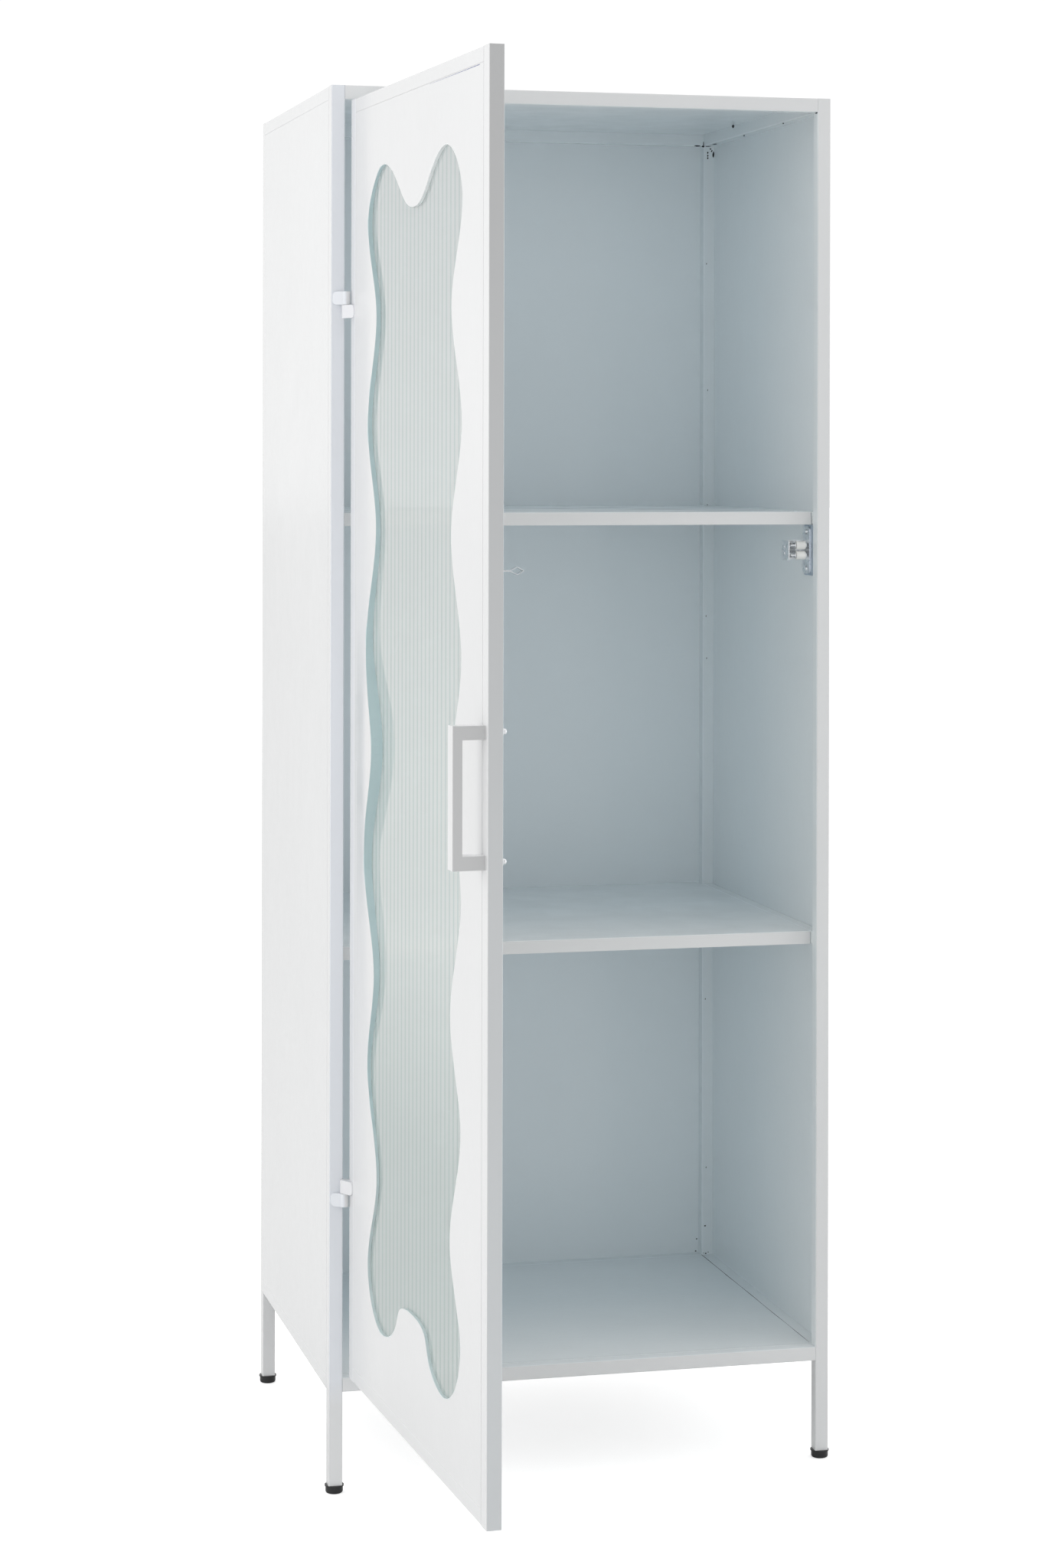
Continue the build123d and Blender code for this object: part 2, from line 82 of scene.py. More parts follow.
def make_camera():
    """The camera stands level, left of the cabinet, and looks past the open door."""
    turn = math.radians(13.76)
    roll = math.radians(0.115)
    stands_at = (-0.9923, -3.9871, 1.1942)
    long_side = 2048
    horizon = 585.0
    focal_px = 4357.2
    data = bpy.data.cameras.new("camera")
    data.sensor_width = 36
    data.lens = focal_px / long_side * data.sensor_width
    data.shift_y = (horizon - long_side / 2) / long_side
    data.clip_start = 0.1
    data.clip_end = 200
    camera = bpy.data.objects.new("camera", data)
    bpy.context.scene.collection.objects.link(camera)
    ahead = Vector((math.sin(turn), math.cos(turn), 0))
    right = Vector((math.cos(turn), -math.sin(turn), 0))
    up = Vector((0, 0, 1))
    facing = Matrix((right, up, -ahead)).transposed().to_4x4()
    camera.matrix_world = Matrix.Translation(stands_at) @ facing @ Matrix.Rotation(roll, 4, "Z")
    bpy.context.scene.camera = camera


# ---------------------------------------------------------------- node helpers


def feed(tree, socket, value):
    """Give an input socket a value or another node's output."""
    if isinstance(value, bpy.types.NodeSocket):
        tree.links.new(value, socket)
    else:
        socket.default_value = value


def node(tree, kind, **inputs):
    """Add a shader node; an input is a value or another node's output, and _ stands for a space."""
    made = tree.nodes.new("ShaderNode" + kind)
    for name, value in inputs.items():
        feed(tree, made.inputs[name.replace("_", " ")], value)
    return made


def math_node(tree, operation, first, second=0.0):
    """The output of a Math node on two values or outputs."""
    made = tree.nodes.new("ShaderNodeMath")
    made.operation = operation
    feed(tree, made.inputs[0], first)
    feed(tree, made.inputs[1], second)
    return made.outputs[0]


def product(tree, first, *others):
    """Values or outputs multiplied together."""
    result = first
    for other in others:
        result = math_node(tree, "MULTIPLY", result, other)
    return result


def axis(tree, place, letter):
    """One coordinate of a place."""
    return node(tree, "SeparateXYZ", Vector=place).outputs[letter]


def mix_colours(tree, blend_type, factor, first, second):
    """The result of a Mix node on two colours."""
    made = tree.nodes.new("ShaderNodeMix")
    made.data_type = "RGBA"
    made.blend_type = blend_type
    values = {"Factor_Float": factor, "A_Color": first, "B_Color": second}
    for socket in made.inputs:
        if socket.identifier in values:
            feed(tree, socket, values[socket.identifier])
    return next(socket for socket in made.outputs if socket.identifier == "Result_Color")


def blend_colours(tree, factor, first, second):
    """A colour that goes from first to second as factor goes from 0 to 1."""
    return mix_colours(tree, "MIX", factor, first, second)


def multiply_colours(tree, first, second):
    """The product of two colours."""
    return mix_colours(tree, "MULTIPLY", 1.0, first, second)


def ranged(tree, value, low, high, to_low, to_high):
    """value taken from one range to another and kept inside it."""
    return node(tree, "MapRange", Value=value, From_Min=low, From_Max=high, To_Min=to_low,
                To_Max=to_high).outputs["Result"]


def start_material(name):
    """A new material, with its tree, its surface shader and the object's own coordinates."""
    made = bpy.data.materials.new(name)
    made.use_nodes = True
    tree = made.node_tree
    surface = tree.nodes["Principled BSDF"]
    place = node(tree, "TexCoord").outputs["Object"]
    return made, tree, surface, place


def cloud(tree, place, scale, detail=2.0):
    """Soft noise from 0 to 1, with this many features to the metre."""
    return node(tree, "TexNoise", Vector=place, Scale=scale, Detail=detail).outputs["Fac"]


def shade_of(colour, share):
    """A colour with its brightness multiplied, as RGBA."""
    return (*(c * share for c in colour), 1)


def connect(tree, output, surface, name):
    """Link an output to one of a shader's inputs."""
    tree.links.new(output, surface.inputs[name])


# ---------------------------------------------------------------- materials

thin_step = 0.1 * MM


def within(tree, value, low, high, soft=0.3 * MM):
    """1 where a coordinate is between two values and 0 outside them, with a soft step at each."""
    above_low = ranged(tree, value, low - soft, low + soft, 0, 1)
    below_high = ranged(tree, value, high - soft, high + soft, 1, 0)
    return product(tree, above_low, below_high)


def distance_along(tree, place, direction):
    """How far a point lies from the hinge axis in a direction."""
    made = tree.nodes.new("ShaderNodeVectorMath")
    made.operation = "DOT_PRODUCT"
    tree.links.new(place, made.inputs[0])
    made.inputs[1].default_value = direction
    return math_node(tree, "SUBTRACT", made.outputs["Value"], hinge_at.dot(direction))


def inside_body(tree, place):
    """1 on the faces that look into the cabinet, and 0 on its outside and on the lips of its shelves."""
    half_sheet = 0.6 * MM
    lip_slack = 0.3 * MM
    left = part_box("left_side_panel")[0].x + half_sheet
    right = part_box("right_side_panel")[1].x - half_sheet
    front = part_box("front_left_post")[0].y + half_sheet
    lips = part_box("upper_shelf")[0].y
    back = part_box("back_panel")[1].y - half_sheet
    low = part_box("floor_panel")[0].z + half_sheet
    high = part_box("top_panel")[1].z - half_sheet
    y = axis(tree, place, "Y")
    on_lips = within(tree, y, lips - lip_slack, lips + lip_slack, thin_step)
    return product(
        tree,
        within(tree, axis(tree, place, "X"), left, right),
        within(tree, y, front, back),
        within(tree, axis(tree, place, "Z"), low, high),
        math_node(tree, "SUBTRACT", 1.0, on_lips),
    )


def near_mouth(tree, place):
    """1 on the inside faces at the cabinet's mouth, falling to 0 a little past half way back, where painted light
    from the mouth is laid.
    """
    mouth = -0.23
    past_middle = 0.05
    towards_mouth = ranged(tree, axis(tree, place, "Y"), mouth, past_middle, 1, 0)
    return product(tree, inside_body(tree, place), towards_mouth)


def behind_door(tree, place):
    """1 on everything behind the door's front face."""
    out = distance_along(tree, place, out_of_door)
    return ranged(tree, out, door_face - 0.7 * MM, door_face - 0.5 * MM, 1, 0)


def end_faces(tree, place):
    """1 on the door's free edge and on the handle's side that looks the same way, less so lower down, where
    painted shade darkens them.
    """
    reach = distance_along(tree, place, across_door)
    out = distance_along(tree, place, out_of_door)
    edge = farthest("door_free_stile", across_door)
    grip = farthest("handle", across_door)
    on_edge = ranged(tree, reach, edge - 0.4 * MM, edge - 0.3 * MM, 0, 1)
    on_grip = within(tree, reach, grip - 0.3 * MM, grip + 0.3 * MM, thin_step)
    proud = ranged(tree, out, door_face + 0.2 * MM, door_face + 0.4 * MM, 0, 1)
    ends = math_node(tree, "MAXIMUM", on_edge, product(tree, on_grip, proud))
    low, high = 0.3, 1.5
    share_at_foot = 0.72
    return product(tree, ends, ranged(tree, axis(tree, place, "Z"), low, high, share_at_foot, 1))


def post_front(tree, place):
    """1 on the front of the left front post, above its leg, where painted light lifts it out of the door's shade.
    """
    low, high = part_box("front_left_post")
    below_rail, on_rail = 0.10, 0.13
    across = within(tree, axis(tree, place, "X"), low.x - 1 * MM, high.x)
    in_front = ranged(tree, axis(tree, place, "Y"), low.y + 0.3 * MM, low.y + 0.5 * MM, 1, 0)
    above_leg = ranged(tree, axis(tree, place, "Z"), below_rail, on_rail, 0, 1)
    return product(tree, across, in_front, above_leg)


def stile_front(tree, place):
    """1 on the front of the door's hinge stile, less so lower down, where painted light brightens it."""
    reach = distance_along(tree, place, across_door)
    out = distance_along(tree, place, out_of_door)
    edge = farthest("door_hinge_stile", across_door)
    on_stile = ranged(tree, reach, edge - thin_step, edge + thin_step, 1, 0)
    in_front = ranged(tree, out, door_face - 0.5 * MM, door_face - 0.3 * MM, 0, 1)
    low, high = 0.3, 0.6
    share_at_foot = 0.5
    lower_down = ranged(tree, axis(tree, place, "Z"), low, high, share_at_foot, 1)
    return product(tree, on_stile, in_front, lower_down)


def roughen(tree, surface, height, strength, distance):
    """Bump the surface by a height."""
    bump = node(tree, "Bump", Height=height, Strength=strength, Distance=distance)
    connect(tree, bump.outputs["Normal"], surface, "Normal")


def enamel(name, colour, painted_light_and_shade):
    """Baked white enamel: faint clouds in its colour, orange peel and a few dust nibs in the film.

    The last argument pairs masks with colours of painted light and shade, which take over where each mask is 1.
    """
    roughness = 0.17
    made, tree, surface, place = start_material(name)
    base = (*colour, 1)
    for mask, painted_colour in painted_light_and_shade:
        base = blend_colours(tree, mask(tree, place), base, (*painted_colour, 1))
    clouds = ranged(tree, cloud(tree, place, 4, 4), 0.3, 0.7, 0, 1)
    tint = multiply_colours(tree, base, blend_colours(tree, clouds, (0.975, 0.975, 0.975, 1), (1, 1, 1, 1)))
    specks = ranged(tree, cloud(tree, place, 900), 0.68, 0.8, 0, 1)
    tint = multiply_colours(tree, tint, blend_colours(tree, specks, (1, 1, 1, 1), (0.93, 0.93, 0.94, 1)))
    connect(tree, tint, surface, "Base Color")
    gloss = ranged(tree, cloud(tree, place, 14, 3), 0.3, 0.7, roughness * 0.8, roughness * 1.25)
    connect(tree, gloss, surface, "Roughness")
    surface.inputs["IOR"].default_value = 1.5
    peel = cloud(tree, place, 130, 1.5)
    waves = cloud(tree, place, 22, 1)
    from_nib = node(tree, "TexVoronoi", Vector=place, Scale=26.0, Randomness=1.0).outputs["Distance"]
    nibs = ranged(tree, from_nib, 0.0, 0.03, 1, 0)
    height = math_node(tree, "ADD", product(tree, peel, 0.35), waves)
    height = math_node(tree, "ADD", height, product(tree, nibs, 0.4))
    roughen(tree, surface, height, 0.13, 1 * MM)
    return made


def reeded_glass(name):
    """Pale green cast glass, a little milky, with painted shade in greener, darker bands between its reeds and low
    down, and darker high up.
    """
    made, tree, surface, place = start_material(name)
    pitch = 16 * MM
    reeds_before = 40
    clouds = cloud(tree, place, 3, 2)
    tint = blend_colours(tree, clouds, (0.865, 0.905, 0.885, 1), (0.885, 0.915, 0.895, 1))
    first_reed = farthest("reeded_glass", across_door) - reeds_before * pitch
    reach = distance_along(tree, place, across_door)
    turns = math_node(tree, "DIVIDE", math_node(tree, "SUBTRACT", reach, first_reed), pitch)
    phase = math_node(tree, "FRACT", turns)
    from_crest = math_node(tree, "ABSOLUTE", math_node(tree, "SUBTRACT", phase, 0.5))
    # painted shade: greener, darker bands between the reeds stand in for the light and dark their refraction makes
    painted_reed_shade = ranged(tree, from_crest, 0.26, 0.46, 0, 1)
    tint = blend_colours(tree, painted_reed_shade, tint, (0.69, 0.79, 0.775, 1))
    z = axis(tree, place, "Z")
    # painted shade: the glass is darker low down
    above_low = ranged(tree, z, 0.45, 0.67, 0, 1)
    tint = multiply_colours(tree, tint, blend_colours(tree, above_low, (0.79, 0.825, 0.82, 1), (1, 1, 1, 1)))
    high_up = ranged(tree, z, 0.85, 1.45, 0, 1)
    tint = multiply_colours(tree, tint, blend_colours(tree, high_up, (1, 1, 1, 1), (0.87, 0.87, 0.88, 1)))
    connect(tree, tint, surface, "Base Color")
    surface.inputs["Transmission Weight"].default_value = 0.55
    surface.inputs["IOR"].default_value = 1.5
    surface.inputs["Specular IOR Level"].default_value = 0.25
    connect(tree, ranged(tree, cloud(tree, place, 9, 2), 0.3, 0.7, 0.008, 0.015), surface, "Roughness")
    roughen(tree, surface, cloud(tree, place, 6, 1), 0.05, 1 * MM)
    return made


def gasket_painted_reflection(name):
    """Glazing strip: sea green beside the hinge as a painted reflection of the sheet's dark back in the glass,
    greyer low down and pale round the rest of the window.
    """
    made, tree, surface, place = start_material(name)
    reach = distance_along(tree, place, across_door)
    away = ranged(tree, reach, 0.15, 0.16, 0, 1)
    low = ranged(tree, axis(tree, place, "Z"), 0.36, 0.46, 1, 0)
    # painted reflection: sea green beside the hinge for the glass reflecting the sheet's dark back
    base = blend_colours(tree, away, (0.50, 0.63, 0.65, 1), (0.84, 0.87, 0.87, 1))
    base = blend_colours(tree, low, base, (0.60, 0.69, 0.70, 1))
    clouds = cloud(tree, place, 30, 2)
    tint = multiply_colours(tree, base, blend_colours(tree, clouds, (0.96, 0.97, 0.97, 1), (1, 1, 1, 1)))
    connect(tree, tint, surface, "Base Color")
    connect(tree, ranged(tree, clouds, 0.3, 0.7, 0.35, 0.45), surface, "Roughness")
    return made


def zinc(name, colour, roughness):
    """Bright zinc plate, with fine drawing lines and a patchy sheen."""
    made, tree, surface, place = start_material(name)
    patches = cloud(tree, place, 160, 3)
    tint = blend_colours(tree, patches, shade_of(colour, 0.88), shade_of(colour, 1.05))
    connect(tree, tint, surface, "Base Color")
    surface.inputs["Metallic"].default_value = 1
    lines = node(tree, "Mapping", Vector=place, Scale=(400.0, 400.0, 4000.0)).outputs["Vector"]
    scratches = cloud(tree, lines, 1.0, 2)
    connect(tree, ranged(tree, patches, 0.3, 0.7, roughness * 0.8, roughness * 1.3), surface, "Roughness")
    roughen(tree, surface, scratches, 0.15, 0.1 * MM)
    return made


def plastic(name, colour, roughness, grain_scale):
    """Moulded plastic with a fine spark-eroded grain."""
    made, tree, surface, place = start_material(name)
    patches = cloud(tree, place, 60, 3)
    tint = blend_colours(tree, patches, shade_of(colour, 0.8), shade_of(colour, 1.25))
    connect(tree, tint, surface, "Base Color")
    connect(tree, ranged(tree, patches, 0.3, 0.7, roughness * 0.85, roughness * 1.15), surface, "Roughness")
    roughen(tree, surface, cloud(tree, place, grain_scale, 2), 0.3, 0.2 * MM)
    return made


def dress(name, material):
    """Give a CAD node a material."""
    slots = frame["nodes"][name].data.materials
    slots.clear()
    slots.append(material)


def dress_the_frame():
    """Every CAD node takes the material of its slot in the record, the enamels with painted light and shade on
    some faces, and the catch's plate a shaded one.
    """
    # painted light: the faces inside the cabinet and the door take a lighter, bluer copy of the enamel, for the
    # cool light inside
    inside = (0.88, 0.95, 0.985)
    looks = {
        "body_enamel": enamel("body_enamel", (0.73, 0.737, 0.742), [
            # painted light: the cabinet's inside faces in the lighter, bluer inside colour
            (inside_body, inside),
            # painted light: the inside is lighter near the cabinet's mouth, where light falls in
            (near_mouth, (0.975, 0.995, 1.0)),
            # painted light: the left front post's front is lighter and bluer, lifted out of the door's shade
            (post_front, (0.77, 0.793, 0.832)),
        ]),
        "door_enamel": enamel("door_enamel", (0.735, 0.74, 0.745), [
            # painted light: the door's inner faces in the lighter, bluer inside colour
            (behind_door, inside),
            # painted shade: the door's free edge and the handle's side are darkened
            (end_faces, (0.48, 0.483, 0.486)),
            # painted light: the hinge stile's front is lighter and bluer
            (stile_front, (0.78, 0.787, 0.814)),
        ]),
        "zinc_plate": zinc("zinc_plate", (0.82, 0.84, 0.86), 0.28),
        "spring_steel": zinc("spring_steel", (0.45, 0.45, 0.46), 0.35),
        "reeded_glass": reeded_glass("reeded_glass"),
        "seal_foam": plastic("seal_foam", (0.12, 0.13, 0.135), 0.8, 1500),
        "roller_nylon": plastic("roller_nylon", (0.82, 0.82, 0.80), 0.4, 2500),
        "foot_plastic": plastic("foot_plastic", (0.012, 0.012, 0.013), 0.35, 1800),
    }
    for subpart in frame["record"]["subparts"]:
        dress(subpart["node"], looks[subpart["material_slot"]])
    dress("catch_mounting_plate", zinc("shaded_zinc", (0.48, 0.54, 0.62), 0.3))
    return looks


# ---------------------------------------------------------------- pieces

weld_distance = 1e-6


def cad_copy(name):
    """A CAD node's mesh to work on, with its shared corners joined."""
    copy = bmesh.new()
    copy.from_mesh(frame["nodes"][name].data)
    bmesh.ops.remove_doubles(copy, verts=copy.verts, dist=weld_distance)
    return copy


def link_piece(name, built, material, body, smooth=False):
    """Put what was built in the scene as a piece that rides on a body."""
    mesh = bpy.data.meshes.new(name)
    built.to_mesh(mesh)
    built.free()
    if smooth:
        mesh.shade_smooth()
    made = bpy.data.objects.new(name, mesh)
    bpy.context.scene.collection.objects.link(made)
    mesh.materials.append(material)
    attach(made, body)
    return made


def smooth_step(value, low, high):
    """0 below low, 1 above high, and a soft curve between them."""
    share = min(max((value - low) / (high - low), 0), 1)
    return share * share * (3 - 2 * share)


def swell(place):
    """How far the sheet beside the window is pushed out of its plane, and its edge along it."""
    hump_z = 0.885
    hump_above, hump_below, waist_spread = 0.074, 0.150, 0.085
    strip_out, hump_out, waist_along = 2.1, 8.1, 12
    starts, ends = (22 * MM, 112 * MM), (0.145, 0.25)
    foot, head = (0.44, 0.60), (1.44, 1.50)
    reach = (place - hinge_at).dot(across_door)
    held = smooth_step(reach, *starts) * (1 - smooth_step(reach, *ends))
    rise = place.z - hump_z
    hump = math.exp(-(rise / (hump_above if rise > 0 else hump_below)) ** 2 / 2)
    waist = math.exp(-(rise / waist_spread) ** 2 / 2)
    strip = smooth_step(place.z, *foot) * (1 - smooth_step(place.z, *head))
    out = (strip_out * strip + hump_out * hump) * held * MM
    return out_of_door * out + across_door * waist_along * waist * held * MM


def window_edge(skin):
    """The corners round the window on the sheet's front, in order, each with a direction into the opening."""
    nearest, furthest = 0.06, 0.5
    lowest, highest = 0.2, 1.53

    def at_front(vertex):
        return (vertex.co - hinge_at).dot(out_of_door) > door_face - 0.05 * MM

    def near_window(vertex):
        reach = (vertex.co - hinge_at).dot(across_door)
        return nearest < reach < furthest and lowest < vertex.co.z < highest

    inward = {}
    steps = {}
    for edge in skin.edges:
        if not all(near_window(vertex) and at_front(vertex) for vertex in edge.verts):
            continue
        cuts = [face for face in edge.link_faces if not all(at_front(vertex) for vertex in face.verts)]
        if len(cuts) != 1:
            continue
        first, second = edge.verts
        steps.setdefault(first, []).append(second)
        steps.setdefault(second, []).append(first)
        for vertex in edge.verts:
            inward[vertex] = inward.get(vertex, Vector()) + cuts[0].normal * cuts[0].calc_area()
    start = min(steps, key=lambda vertex: vertex.co.z)
    ring = [start]
    onward = steps[start][0]
    while onward is not start:
        ring.append(onward)
        onward = next(vertex for vertex in steps[ring[-1]] if vertex is not ring[-2])
    return [(vertex.co + swell(vertex.co), inward[vertex].normalized()) for vertex in ring]


def bridge(built, rows):
    """Join rows of four corners into a bar."""
    for near, far in zip(rows, rows[1:]):
        for side in range(4):
            built.faces.new((near[side], near[side - 1], far[side - 1], far[side]))


def make_window_gasket(ring):
    """The strip between the sheet and the glass, round the whole window, carrying the painted reflection beside
    the hinge.
    """
    proud = 0.25 * MM
    buried = 0.9 * MM
    below_front = 0.1 * MM
    above_glass = 0.02 * MM
    strip = bmesh.new()
    rows = []
    for place, inward in ring:
        top = place - out_of_door * below_front
        drop = (top - hinge_at).dot(out_of_door) - glass_face - above_glass
        foot = top - out_of_door * drop
        corners = (top + inward * proud, foot + inward * proud, foot - inward * buried, top - inward * buried)
        rows.append([strip.verts.new(corner) for corner in corners])
    bridge(strip, rows + rows[:1])
    bmesh.ops.recalc_face_normals(strip, faces=strip.faces)
    link_piece("window_gasket", strip, gasket_painted_reflection("gasket_painted_reflection"), "door")


def make_door_skin(looks):
    """The door sheet, standing out of its plane beside the window on the hinge side.

    Returns the outline of its window.
    """
    upright = Vector((0, 0, 1))
    across_step = 0.012
    lowest_cut, up_step, up_cuts = 0.42, 0.015, 73
    least_push = 0.02 * MM
    sharp_angle = math.radians(25)
    skin = cad_copy("door_sheet")
    skin.normal_update()
    ring = window_edge(skin)
    cuts = [(hinge_at + across_door * across_step * step, across_door) for step in range(2, 22)]
    cuts += [(upright * (lowest_cut + up_step * step), upright) for step in range(up_cuts)]
    for point, normal in cuts:
        parts = skin.verts[:] + skin.edges[:] + skin.faces[:]
        bmesh.ops.bisect_plane(skin, geom=parts, plane_co=point, plane_no=normal, dist=weld_distance)
    swelled = set()
    for vertex in skin.verts:
        push = swell(vertex.co)
        vertex.co += push
        if push.length > least_push:
            swelled.add(vertex)
    skin.normal_update()
    for face in skin.faces:
        front_or_back = abs(face.normal.dot(out_of_door)) > 0.7
        face.smooth = front_or_back and all(vertex in swelled for vertex in face.verts)
    for edge in skin.edges:
        edge.smooth = not edge.is_boundary and edge.calc_face_angle(0) < sharp_angle
    made = link_piece("door_skin", skin, looks["door_enamel"], "door")
    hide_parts("door_sheet")
    return ring


def make_catch_spring(looks):
    """The hairpin spring of the catch, with its two arms on the jaws and its bend on the cabinet."""
    low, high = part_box("catch_spring")
    backwards = Vector((0, 1, 0))
    split = backwards * joint_named("upper_jaw_pivot")["pos_m"][1]
    middle_z = (low.z + high.z) / 2
    sharp_angle = math.radians(40)
    pieces = (
        ("spring_bend", "cabinet", 0),
        ("spring_upper_arm", "upper_jaw", 1),
        ("spring_lower_arm", "lower_jaw", -1),
    )
    for name, body, side in pieces:
        wire = cad_copy("catch_spring")
        parts = wire.verts[:] + wire.edges[:] + wire.faces[:]
        bmesh.ops.bisect_plane(wire, geom=parts, plane_co=split, plane_no=backwards,
                               dist=weld_distance, clear_inner=side == 0, clear_outer=side != 0)
        if side:
            other_arm = [vertex for vertex in wire.verts if (vertex.co.z - middle_z) * side < 0]
            bmesh.ops.delete(wire, geom=other_arm, context="VERTS")
        bmesh.ops.holes_fill(wire, edges=wire.edges[:], sides=0)
        made = link_piece(name, wire, looks["spring_steel"], body, smooth=True)
        made.data.set_sharp_from_angle(angle=sharp_angle)
        if side == 0:
            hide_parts("catch_spring")


def mark(flaws, middle, long, wide, along, facing, thick=0.3):
    """A small ragged blot, sized in millimetres, lying along a direction on a face that looks one way."""
    along = Vector(along).normalized()
    facing = Vector(facing)
    sideways = facing.cross(along).normalized()
    raggedness = 0.22
    blot = bmesh.ops.create_icosphere(flaws, subdivisions=2, radius=1.0)["verts"]
    for index, vertex in enumerate(blot):
        ragged = 1 + raggedness * math.sin(7.3 * index) * math.cos(3.1 * index)
        x, y, z = vertex.co
        offset = along * x * long / 2 * ragged + sideways * y * wide / 2 * ragged + facing * z * thick / 2
        vertex.co = (Vector(middle) + offset) * MM


def make_weld_pits(material):
    """Pinholes and short cracks in the enamel where the sheets and tubes are welded, drawn as near-black blots of
    painted shade for the shade inside them, in millimetres.
    """
    post_front = 224
    back_sheet = 238.8
    under_top = 1591.3
    inner_side = 284
    forward = (0, -1, 0)
    down = (0, 0, -1)
    leftward = (-1, 0, 0)
    across = (1, 0, 0)
    upwards = (0, 0, 1)
    pits = [
        ((275.3, post_front, 1592.2), 8.0, 1.8, across, forward),
        ((283.8, post_front, 1594.6), 6.8, 2.0, upwards, forward),
        ((283.0, post_front, 1591.6), 3.6, 2.6, across, forward),
        ((291.0, post_front, 1592.5), 8.8, 2.6, (1, 0, 0.12), forward),
        ((288.8, 190.0, 1591.6), 3.0, 8.0, (1, 0.6, 0), down, 1.0),
        ((293.2, post_front, 1588.5), 2.4, 2.0, (1, 0, -1), forward),
    ]
    pits += [((289.5, post_front, z), 2.7, 2.0, (0.2, 0, 1), forward) for z in (1583.5, 1579.6, 1576.4)]
    pits += [
        ((297.2, post_front, 1581.4), 7.8, 2.6, (0.05, 0, 1), forward),
        ((295.0, post_front, 1586.0), 2.8, 1.8, (0.6, 0, 1), forward),
        ((278.5, 77.7, 1604.4), 3.0, 3.0, (1, 0.15, 0), down, 4.6),
        ((288.4, 62.4, under_top), 1.8, 3.0, across, down, 1.6),
        ((286.3, -102.4, under_top), 1.7, 3.0, across, down, 1.6),
        ((inner_side, -234.5, under_top), 9.0, 1.8, (0, 1, 0), leftward),
        ((288.7, post_front, 169.8), 2.3, 2.2, across, forward),
        ((281.6, back_sheet, 149.6), 2.0, 1.8, across, forward),
        ((280.3, back_sheet, 133.6), 2.2, 1.8, across, forward),
        ((289.7, post_front, 133.4), 2.4, 1.8, across, forward),
        ((293.0, post_front, 135.0), 1.4, 1.2, across, forward),
        ((286.9, post_front, 134.0), 1.2, 1.0, across, forward),
    ]
    heights = (1437.2, 1270.8, 1119.5, 973.2, 917.7, 468.8, 246.9)
    pits += [((289.0 + math.sin(z), post_front, z), 1.9, 1.2, (0.1, 0, 1), forward) for z in heights]
    pits.append(((inner_side, -221.7, 1108.5), 13.0, 0.9, upwards, leftward))
    flaws = bmesh.new()
    for pit in pits:
        mark(flaws, *pit)
    link_piece("weld_pits", flaws, material, "cabinet", smooth=True)


def make_door_top_gap(material):
    """The hairline between the door's sheet and its folded top edge, drawn as painted shade, widest near the free
    edge.
    """
    line_height = 1573.0
    first_reach = 0.342
    run = 0.19
    blots = 16
    blot_long = 13.5
    start = hinge_at + out_of_door * door_face + across_door * first_reach
    gap = bmesh.new()
    for step in range(blots):
        share = (step + 0.5) / blots
        middle = (start + across_door * run * share) / MM
        middle.z = line_height
        mark(gap, middle, blot_long, 0.25 + 0.75 * share, across_door, out_of_door, 0.1)
    link_piece("door_top_gap", gap, material, "door", smooth=True)


def make_floor_seam(material):
    """The joint between the cabinet's floor sheet and its right rail, a ribbon of painted shade for its narrow
    gap, widest at the back.
    """
    low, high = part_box("floor_panel")
    stations = 60
    reached = 0.985
    rise = 0.12 * MM
    seam = bmesh.new()
    rows = []
    for station in range(stations + 1):
        share = station / stations
        wander = 0.12 * math.sin(17 * share) + 0.08 * math.sin(41 * share)
        half = (0.50 - 0.22 * share + 0.10 * math.sin(29 * share)) * MM
        y = high.y - (high.y - low.y) * reached * share
        x = high.x + wander * MM
        corners = ((x - half, y, high.z), (x, y, high.z + rise), (x + half, y, high.z), (x, y, high.z - rise))
        rows.append([seam.verts.new(corner) for corner in corners])
    bridge(seam, rows)
    seam.faces.new(rows[0])
    seam.faces.new(reversed(rows[-1]))
    link_piece("floor_seam", seam, material, "cabinet")


# ---------------------------------------------------------------- stage


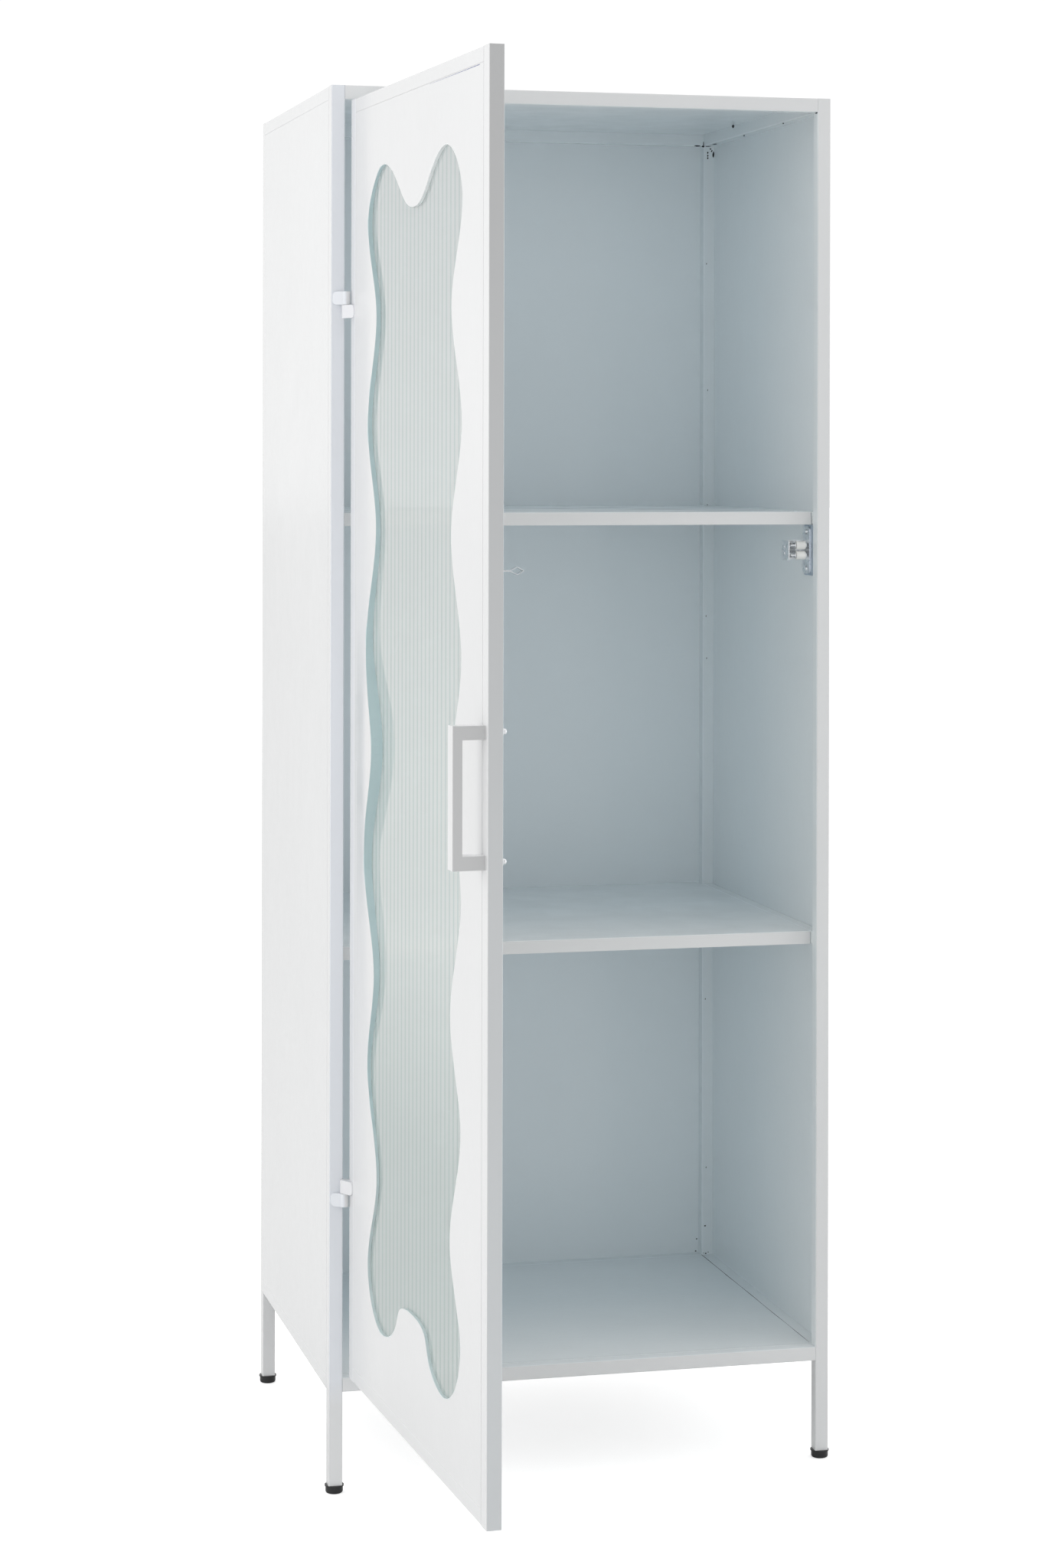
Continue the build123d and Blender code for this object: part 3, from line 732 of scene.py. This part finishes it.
def make_floor():
    """A pale floor that runs out past the edge of every view, and looks lighter than the light it returns."""
    half = 60.0
    glow = 0.55
    mesh = bpy.data.meshes.new("floor")
    corners = [(-half, -half, 0), (half, -half, 0), (half, half, 0), (-half, half, 0)]
    mesh.from_pydata(corners, [], [(0, 1, 2, 3)])
    floor = bpy.data.objects.new("floor", mesh)
    bpy.context.scene.collection.objects.link(floor)
    made, tree, surface, place = start_material("floor")
    tint = blend_colours(tree, cloud(tree, place, 2, 3), (0.80, 0.80, 0.80, 1), (0.82, 0.82, 0.82, 1))
    connect(tree, tint, surface, "Base Color")
    surface.inputs["Roughness"].default_value = 0.8
    surface.inputs["Specular IOR Level"].default_value = 0.1
    surface.inputs["Emission Color"].default_value = (1, 1, 1, 1)
    seen = node(tree, "LightPath").outputs["Is Camera Ray"]
    connect(tree, product(tree, seen, glow), surface, "Emission Strength")
    mesh.materials.append(made)


def area_light(name, place, target, size, power, colour=(1, 1, 1)):
    """A rectangular soft light of this width and height that faces its target."""
    data = bpy.data.lights.new(name, "AREA")
    data.shape = "RECTANGLE"
    data.size, data.size_y = size
    data.energy = power
    data.color = colour
    light = bpy.data.objects.new(name, data)
    bpy.context.scene.collection.objects.link(light)
    light.location = place
    towards = Vector(target) - Vector(place)
    light.rotation_euler = towards.to_track_quat("-Z", "Y").to_euler()
    light.visible_camera = False


def make_light():
    """A pale surround, dimmer in front than behind, with soft lights left, right and front left."""
    world = bpy.data.worlds.new("studio")
    bpy.context.scene.world = world
    world.use_nodes = True
    tree = world.node_tree
    background = tree.nodes["Background"]
    background.inputs["Color"].default_value = (1, 1, 1, 1)
    direction = node(tree, "TexCoord").outputs["Generated"]
    level = ranged(tree, axis(tree, direction, "Y"), -0.3, 0.3, 0.68, 1.04)
    overhead = ranged(tree, axis(tree, direction, "Z"), 0.4, 0.8, 0, 0.27)
    connect(tree, math_node(tree, "ADD", level, overhead), background, "Strength")
    area_light("left_soft_light", (-2.8, -1.3, 1.2), (-0.2, -0.3, 0.95), (2.0, 2.4), 18.5, (1, 0.993, 0.98))
    area_light("right_soft_light", (2.8, -1.3, 1.2), (0.2, 0.1, 0.95), (2.0, 2.4), 13.6)
    area_light("front_left_light", (-1.9, -4.2, 1.7), (0, 0, 0.8), (1.6, 2.2), 9.5, (0.93, 0.97, 1))


def make_stage():
    """The floor, the lights and the way colours are shown."""
    make_floor()
    make_light()
    bpy.context.scene.view_settings.view_transform = "Standard"


# ---------------------------------------------------------------- scene

make_camera()
make_stage()
looks = dress_the_frame()
window_outline = make_door_skin(looks)
make_window_gasket(window_outline)
make_catch_spring(looks)
# painted shade: near-black for the shade inside the weld pits, cracks and the floor seam's gap
pit_and_gap_shade = plastic("pit_and_gap_shade", (0.012, 0.016, 0.02), 0.7, 1500)
make_weld_pits(pit_and_gap_shade)
make_floor_seam(pit_and_gap_shade)
# painted shade: bluish dark for the shade in the door's top hairline
make_door_top_gap(plastic("painted_gap_shade", (0.20, 0.22, 0.36), 0.7, 1500))
